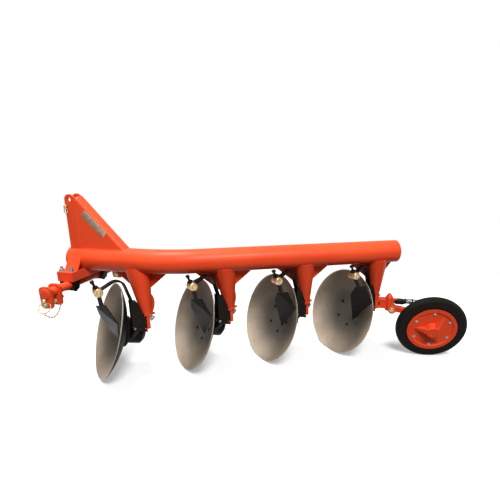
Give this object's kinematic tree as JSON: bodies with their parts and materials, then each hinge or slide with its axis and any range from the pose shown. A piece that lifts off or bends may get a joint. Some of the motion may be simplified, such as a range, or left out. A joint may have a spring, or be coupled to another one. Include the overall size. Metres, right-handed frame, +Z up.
{
  "type": "mounted disc plough",
  "caption": "Tractor-mounted disc plough: bent round beam with a top-link mast, clamped cross shaft with clevises, tapered legs with dished discs and scrapers, and a rear furrow wheel.",
  "frame": {"origin": "on the floor at the middle of the plough's box, standing on its discs and its furrow wheel", "axes": "+X is the direction of travel, +Y the side that the soil is thrown to, +Z up"},
  "size_m": [2.7786, 1.2464, 1.2406],
  "materials": {
    "red_paint": "gloss",
    "black_paint": "satin",
    "disc_steel": "rolled",
    "yellow_zinc": "satin",
    "bright_zinc": "satin",
    "black_iron": "painted"
  },
  "bodies": {
    "frame": {"main_beam": "red_paint", "beam_caps": "red_paint", "mast_bars": "red_paint", "mast_plate": "red_paint", "hitch_bolster": "red_paint", "hitch_straps": "red_paint", "shaft_clamps": "black_paint", "cross_shaft": "red_paint", "clevis_left": "red_paint", "hitch_pin_left": "bright_zinc", "clevis_right": "red_paint", "hitch_pin_right": "bright_zinc", "leg_1": "red_paint", "hub_carrier_1": "black_paint", "scraper_arm_1": "black_paint", "scraper_clamp_1": "yellow_zinc", "scraper_blade_1": "black_paint", "leg_2": "red_paint", "hub_carrier_2": "black_paint", "scraper_arm_2": "black_paint", "scraper_clamp_2": "yellow_zinc", "scraper_blade_2": "black_paint", "leg_3": "red_paint", "hub_carrier_3": "black_paint", "scraper_arm_3": "black_paint", "scraper_clamp_3": "yellow_zinc", "scraper_blade_3": "black_paint", "leg_4": "red_paint", "hub_carrier_4": "black_paint", "scraper_arm_4": "black_paint", "scraper_clamp_4": "yellow_zinc", "scraper_blade_4": "black_paint", "leg_gussets": "red_paint", "scraper_studs": "black_paint", "wheel_axle": "bright_zinc", "wheel_bracket": "red_paint", "wheel_pivot": "red_paint", "wheel_arm": "red_paint", "wheel_spring": "bright_zinc"},
    "disc_body_1": {"disc_1": "disc_steel", "disc_hub_1": "black_paint"},
    "disc_body_2": {"disc_2": "disc_steel", "disc_hub_2": "black_paint"},
    "disc_body_3": {"disc_3": "disc_steel", "disc_hub_3": "black_paint"},
    "disc_body_4": {"disc_4": "disc_steel", "disc_hub_4": "black_paint"},
    "wheel_body": {"wheel_rim": "black_iron", "wheel_disc": "red_paint"}
  },
  "joints": [
    {"name": "disc_1_spin", "type": "hinge", "parent": "frame", "child": "disc_body_1", "pos_m": [1.10041, 0.34221, 0.31473], "axis": [0.6625, 0.686, 0.3007], "continuous": true},
    {"name": "disc_2_spin", "type": "hinge", "parent": "frame", "child": "disc_body_2", "pos_m": [0.58381, 0.10131, 0.31473], "axis": [0.6625, 0.686, 0.3007], "continuous": true},
    {"name": "disc_3_spin", "type": "hinge", "parent": "frame", "child": "disc_body_3", "pos_m": [0.06722, -0.13958, 0.31473], "axis": [0.6625, 0.686, 0.3007], "continuous": true},
    {"name": "disc_4_spin", "type": "hinge", "parent": "frame", "child": "disc_body_4", "pos_m": [-0.44938, -0.38047, 0.31473], "axis": [0.6625, 0.686, 0.3007], "continuous": true},
    {"name": "wheel_spin", "type": "hinge", "parent": "frame", "child": "wheel_body", "pos_m": [-1.13145, -0.34601, 0.25163], "axis": [-0.1235, 0.9637, -0.2368], "continuous": true}
  ]
}
